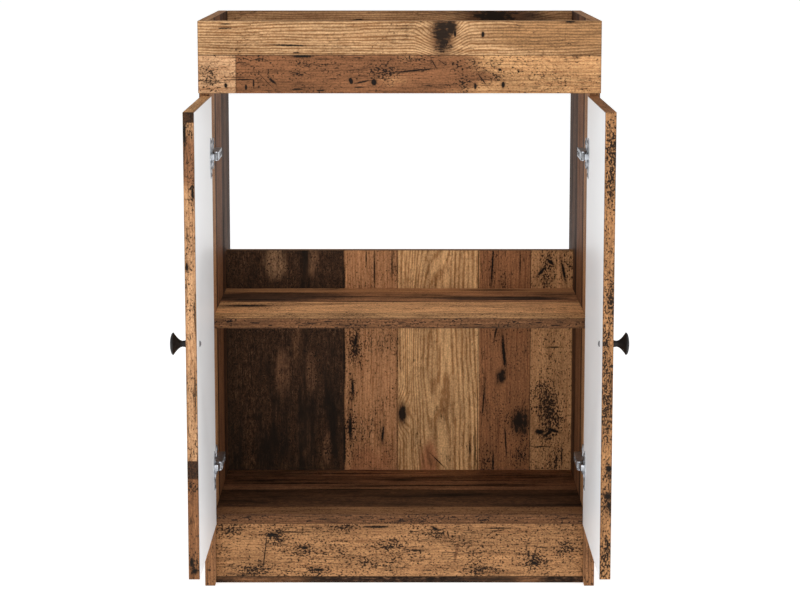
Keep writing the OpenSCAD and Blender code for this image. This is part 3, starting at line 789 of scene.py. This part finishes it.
def door_edges():
    """The long free edges of the two doors, which differ most."""
    whole = (-1, 20)
    left = {"stains": [((0.26, 0.115, 0.054), (565, 7, 40, 16, 0), whole),
                       ((0.09, 0.04, 0.02), (120, 7, 16, 14, 0), whole)],
            "slits": [(606, 2, 24, 2.6, 0), (12, 8, 5, 5, 20), (24, 4, 8, 3, 0), (528, 12, 12, 2, 0),
                      (258, 12, 30, 0.9, 0), (360, 13, 30, 0.8, 0), (429, 3, 7, 2.4, 0)],
            "blots": [(540, 11, 40, 6, 0), (430, 4, 14, 6, 0), (128, 7, 14, 12, 0), (20, 8, 16, 10, 0),
                      (610, 5, 20, 8, 0)]}
    right = {"slits": [(154, 11, 6, 5, 0), (116, 10, 6, 6, 0), (104, 12, 5, 4, 0)],
             "blots": [(590, 10, 50, 9, 0), (540, 10, 40, 9, 0), (380, 11, 40, 6, 0), (330, 5, 26, 6, 0),
                       (240, 8, 70, 9, 0), (150, 10, 20, 9, 0), (110, 9, 24, 10, 0), (40, 8, 30, 9, 0)]}
    sooty = DARK.but(light=(0.024, 0.013, 0.008), dark=(0.010, 0.006, 0.004))
    russet = RUSSET.but(light=(0.215, 0.094, 0.040), dark=(0.080, 0.033, 0.014), wear=(0.16, 0.40, 0.5))
    blocks = [((-5, 140, -5, 20), russet), ((140, 164.5, -5, 20), sooty), ((622, 650, -5, 20), sooty)]
    return {"left": (left, blocks), "right": (right, ())}


def door_rows(side):
    if side == "left":
        return [(58, TAN), (126, PALE), (186, RUSSET), (238, CHARRED), (288, TAN)]
    return [(64, PITTED), (120, BROWN), (190, PALE), (240, RUSSET), (288, TAN)]


def inner_face(side, node):
    """Pale grey melamine with the brown edge band showing as a thin line round it."""
    paint = Paint(side + "_door_inner")
    whole = paint.point()
    point = paint.parts(whole)
    bottom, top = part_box(node)
    gaps = [(point[axis] - getattr(bottom, axis)).under(getattr(top, axis) - point[axis]) for axis in "yz"]
    line = gaps[0].under(gaps[1]).fall(0.0008, 0.0011)
    pebble = paint.noise(whole, 900.0, 2.0, 0.5)
    cloud = paint.noise(whole, 9.0, 2.0, 0.5)
    grey = paint.mix(cloud, (0.83, 0.84, 0.85), (0.87, 0.88, 0.89))
    colour = paint.mix(line, grey, (0.20, 0.105, 0.052))
    return paint.finish(colour, 0.36 + cloud * 0.06, pebble, depth=0.00006, strength=0.2)


def doors():
    edges = door_edges()
    for index, (side, (inner_side, outer_side)) in enumerate(SIDES.items()):
        node = side + "_door"
        outer_marks = {"knots": [(450, 92, 17, 9, 0), (180, 210, 20, 10, 0)],
                       "slits": [(560, 30, 40, 1.8, 0), (120, 150, 34, 2, 4), (300, 262, 44, 1.8, 0)],
                       "blots": [(330, 150, 70, 20, 0), (80, 30, 60, 22, 0), (600, 205, 40, 20, 0)],
                       "holes": [(590, 100, 4.6, 2.4, 0), (45, 108, 4.6, 2.4, 0)]}
        outer = old_wood(side + "_door_outer", node, "z", "y", door_rows(side), outer_marks, 60.0 + index)
        base = TAN.but(light=(0.44, 0.245, 0.122), dark=(0.21, 0.100, 0.044), wear=(0.04, 0.45, 0.5))
        if side == "right":
            base = PITTED.but(light=(0.37, 0.186, 0.078), dark=(0.14, 0.060, 0.024), wear=(0.06, 0.56, 0.6))
        free = band(side + "_door_free_edge", node, "z", "x", base, 62.0 + index, *edges[side])
        far = band(side + "_door_hinge_edge", node, "z", "x", BROWN, 64.0 + index)
        end = band(side + "_door_end", node, "y", "x", TAN if side == "left" else RUSSET, 66.0 + index)
        make_board(node, side + "_leaf", {inner_side: inner_face(side, node), outer_side: outer, "-y": free,
                                          "+y": far, "+z": end, "-z": end})


# ------------------------------------------------------------------ fittings

def eased_node(node, body, finish, width=0.00018, angle=40.0):
    """A small metal part from its CAD shape, with its sharp edges broken."""
    form = clean_copy(node)
    sharp = [edge for edge in form.edges
             if len(edge.link_faces) == 2 and edge.calc_face_angle() > math.radians(angle)]
    bmesh.ops.bevel(form, geom=sharp, offset=width, segments=2, profile=0.6, affect="EDGES",
                    clamp_overlap=True)
    mesh = bpy.data.meshes.new(node + "_mesh")
    form.to_mesh(mesh)
    form.free()
    mesh.materials.append(finish)
    smooth_by_angle(mesh, 32.0)
    piece = add_piece(node + "_part", mesh, body)
    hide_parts(node)
    return piece


def hinges():
    for side in SIDES:
        for level in ("upper", "lower"):
            name = f"{side}_{level}_hinge_"
            eased_node(name + "plate", "carcass", NICKEL)
            eased_node(name + "arm", "carcass", NICKEL)
            eased_node(name + "link", side + "_links", NICKEL)
            eased_node(name + "cup", side + "_leaf", NICKEL, 0.00012)


def screw_tree():
    """Pan-head screws set at given places: a domed head with a cross recess, a thread and a point."""
    tree = bpy.data.node_groups.new("screw_set", "GeometryNodeTree")
    for name in ("Places", "Finish", "Head Radius", "Head Height", "Shank Radius", "Length", "Pitch"):
        kind = {"Places": "Geometry", "Finish": "Material"}.get(name, "Float")
        tree.interface.new_socket(name=name, in_out="INPUT", socket_type="NodeSocket" + kind)
    tree.interface.new_socket(name="Screws", in_out="OUTPUT", socket_type="NodeSocketGeometry")
    graph = Graph(tree)
    entry = tree.nodes.new("NodeGroupInput")
    given = {out.name: Socket(graph, out) for out in entry.outputs if out.name}
    head_r, head_h = given["Head Radius"], given["Head Height"]
    shank_r, length = given["Shank Radius"], given["Length"]

    def moved(shape, height, turn=0.0):
        return graph.node("GeometryNodeTransform", {}, {
            "Geometry": shape, "Rotation": (0.0, 0.0, turn), "Translation": graph.vector(0.0, 0.0, height)})

    disc = graph.node("GeometryNodeMeshCylinder", {}, {
        "Vertices": 28, "Side Segments": 6, "Fill Segments": 3, "Radius": head_r, "Depth": head_h})
    at = graph.parts(graph.node("GeometryNodeInputPosition"))
    up = at["z"] / head_h + 0.5
    narrow = 1.0 - up.power(3.0) * 0.30
    sag = (at["x"] * at["x"] + at["y"] * at["y"]) / (head_r * head_r) * up * head_h * 0.35
    domed = graph.node("GeometryNodeSetPosition", {}, {
        "Geometry": disc, "Position": graph.vector(at["x"] * narrow, at["y"] * narrow, at["z"] - sag)})
    slot = graph.node("GeometryNodeMeshCube", {}, {
        "Size": graph.vector(head_r * 1.1, head_r * 0.27, head_h)})
    head = graph.node("GeometryNodeMeshBoolean", {"operation": "DIFFERENCE"}, {
        "Mesh 1": moved(domed, head_h * 0.5),
        "Mesh 2": [moved(slot, head_h), moved(slot, head_h, math.pi / 2.0)]})

    core_r = shank_r * 0.78
    point = shank_r * 1.4
    body = length - point
    stem = graph.node("GeometryNodeMeshCone", {}, {
        "Vertices": 16, "Radius Top": core_r, "Radius Bottom": core_r, "Depth": body})
    tip = graph.node("GeometryNodeMeshCone", {}, {
        "Vertices": 16, "Radius Top": core_r, "Radius Bottom": core_r * 0.15, "Depth": point})
    helix = graph.node("GeometryNodeCurveSpiral", {}, {
        "Resolution": 14, "Rotations": body / given["Pitch"], "Start Radius": core_r, "End Radius": core_r,
        "Height": body})
    tooth = graph.node("GeometryNodeCurvePrimitiveCircle", {"mode": "RADIUS"},
                       {"Resolution": 3, "Radius": shank_r - core_r}, out="Curve")
    thread = graph.node("GeometryNodeCurveToMesh", {},
                        {"Curve": helix, "Profile Curve": tooth, "Fill Caps": True})
    screw = graph.node("GeometryNodeJoinGeometry", {}, {
        "Geometry": [head, moved(stem, body * -1.0), moved(tip, length * -1.0),
                     moved(thread, body * -1.0)]})

    facing = graph.node("GeometryNodeInputNamedAttribute", {"data_type": "FLOAT_VECTOR"},
                        {"Name": "facing"})
    turned = graph.node("FunctionNodeAlignRotationToVector", {"axis": "Z"}, {"Vector": facing})
    placed = graph.node("GeometryNodeInstanceOnPoints", {}, {
        "Points": given["Places"], "Instance": screw, "Rotation": turned})
    real = graph.node("GeometryNodeRealizeInstances", {}, {"Geometry": placed})
    painted = graph.node("GeometryNodeSetMaterial", {}, {"Geometry": real, "Material": given["Finish"]})
    graph.join(tree.nodes.new("NodeGroupOutput").inputs[0], painted)
    return tree


def islands(form):
    """The vertices of each separate solid in a bmesh."""
    left = set(form.verts)
    while left:
        queue = [left.pop()]
        found = []
        while queue:
            vert = queue.pop()
            found.append(vert.co.copy())
            fresh = {edge.other_vert(vert) for edge in vert.link_edges} & left
            left -= fresh
            queue.extend(fresh)
        yield found


def measure_screw(points):
    """Place under the head, direction of the head, and sizes of a CAD screw lying along X."""
    least, greatest = ([pick(point[axis] for point in points) for axis in range(3)]
                       for pick in (min, max))
    middle = Vector((0.0, (least[1] + greatest[1]) / 2.0, (least[2] + greatest[2]) / 2.0))
    reach = [math.hypot(point.y - middle.y, point.z - middle.z) for point in points]
    head_r = max(reach)
    seat = points[reach.index(head_r)].x
    top, tip = sorted((least[0], greatest[0]), key=lambda end: abs(end - seat))
    shank_r = max(far for far, point in zip(reach, points) if abs(point.x - tip) < SAME)
    return Vector((seat, middle.y, middle.z)), Vector((math.copysign(1.0, top - seat), 0.0, 0.0)), {
        "Head Radius": head_r, "Head Height": abs(top - seat), "Shank Radius": shank_r,
        "Length": abs(tip - seat)}


def screw_set(tree, node, pitch):
    """The screws of one CAD node as a plain mesh."""
    form = clean_copy(node)
    measured = [measure_screw(points) for points in islands(form)]
    form.free()
    mesh = bpy.data.meshes.new(node + "_places")
    mesh.from_pydata([place for place, _, _ in measured], [], [])
    facing = mesh.attributes.new("facing", "FLOAT_VECTOR", "POINT")
    facing.data.foreach_set("vector", [part for _, way, _ in measured for part in way])
    holder = bpy.data.objects.new(node + "_places", mesh)
    show(holder)
    modifier = holder.modifiers.new("screws", "NODES")
    modifier.node_group = tree
    values = {**measured[0][2], "Pitch": pitch, "Finish": STEEL}
    for item in tree.interface.items_tree:
        if item.in_out == "INPUT" and item.name in values:
            modifier[item.identifier] = values[item.name]
    shown = holder.evaluated_get(bpy.context.evaluated_depsgraph_get())
    result = bpy.data.meshes.new_from_object(shown)
    holder.modifiers.clear()
    bpy.data.objects.remove(holder)
    return result


def screws():
    tree = screw_tree()
    for body, kinds in (("carcass", {"plate_screws": 1.4, "arm_screws": 0.9}),
                        ("left_leaf", {"left_cup_screws": 1.4, "left_knob_screw": 0.9}),
                        ("right_leaf", {"right_cup_screws": 1.4, "right_knob_screw": 0.9})):
        form = bmesh.new()
        for node, pitch in kinds.items():
            form.from_mesh(screw_set(tree, node, pitch * MM))
        mesh = bpy.data.meshes.new(body + "_screws_mesh")
        form.to_mesh(mesh)
        form.free()
        mesh.materials.append(STEEL)
        smooth_by_angle(mesh, 35.0)
        piece = add_piece(body + "_screws", mesh, body)
        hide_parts(*kinds)


def plain_fittings():
    for side in SIDES:
        finish_node(side + "_knob", BLACK)
        finish_node(side + "_cup_pins", ZINC)
    for node in ("cam_bolts", "cam_locks", "arm_pins"):
        finish_node(node, ZINC)
    finish_node("wood_dowels", BEECH)


# ------------------------------------------------------------------ room

SKY = 0.45              # brightness of the white world
FLOOR_GLOW = 0.62       # keeps the floor almost white


def room():
    world = bpy.data.worlds.new("studio")
    world.use_nodes = True
    sky = world.node_tree.nodes["Background"]
    sky.inputs["Color"].default_value = (1.0, 1.0, 1.0, 1.0)
    sky.inputs["Strength"].default_value = SKY
    bpy.context.scene.world = world
    paint = Paint("pale_floor")
    point = paint.point()
    cloud = paint.noise(point, 1.5, 2.0, 0.5)
    finish = paint.finish(paint.mix(cloud, (0.86, 0.86, 0.86), (0.90, 0.90, 0.90)), 0.9)
    paint.shader.inputs["Emission Color"].default_value = (1.0, 1.0, 1.0, 1.0)
    paint.shader.inputs["Emission Strength"].default_value = FLOOR_GLOW
    size = 40.0
    mesh = bpy.data.meshes.new("floor_mesh")
    mesh.from_pydata([(-size, -size, 0), (size, -size, 0), (size, size, 0), (-size, size, 0)], [],
                     [(0, 1, 2, 3)])
    mesh.materials.append(finish)
    floor = bpy.data.objects.new("floor", mesh)
    show(floor)
    middle = Vector((0.0, 0.0, cad_box[1][2] / 2.0))
    for name, place, width, height, power in (("left_light", (-2.5, -3.4, 0.6), 1.8, 1.2, 31.0),
                                              ("right_light", (2.5, -3.4, 0.6), 1.8, 1.2, 31.0),
                                              ("front_light", (0.0, -3.8, 0.55), 2.2, 0.9, 50.0),
                                              ("top_light", (0.0, -0.9, 3.2), 2.2, 2.2, 34.0)):
        data = bpy.data.lights.new(name, "AREA")
        data.shape = "RECTANGLE"
        data.size = width
        data.size_y = height
        data.energy = power
        light = bpy.data.objects.new(name, data)
        light.location = place
        light.rotation_euler = (Vector(place) - middle).to_track_quat("Z", "Y").to_euler()
        show(light)
    bpy.context.scene.view_settings.view_transform = "Standard"


front_rail()
rear_rail()
side_panels()
back_panel()
shelf()
bottom_panel()
kick_board()
doors()
hinges()
screws()
plain_fittings()
room()
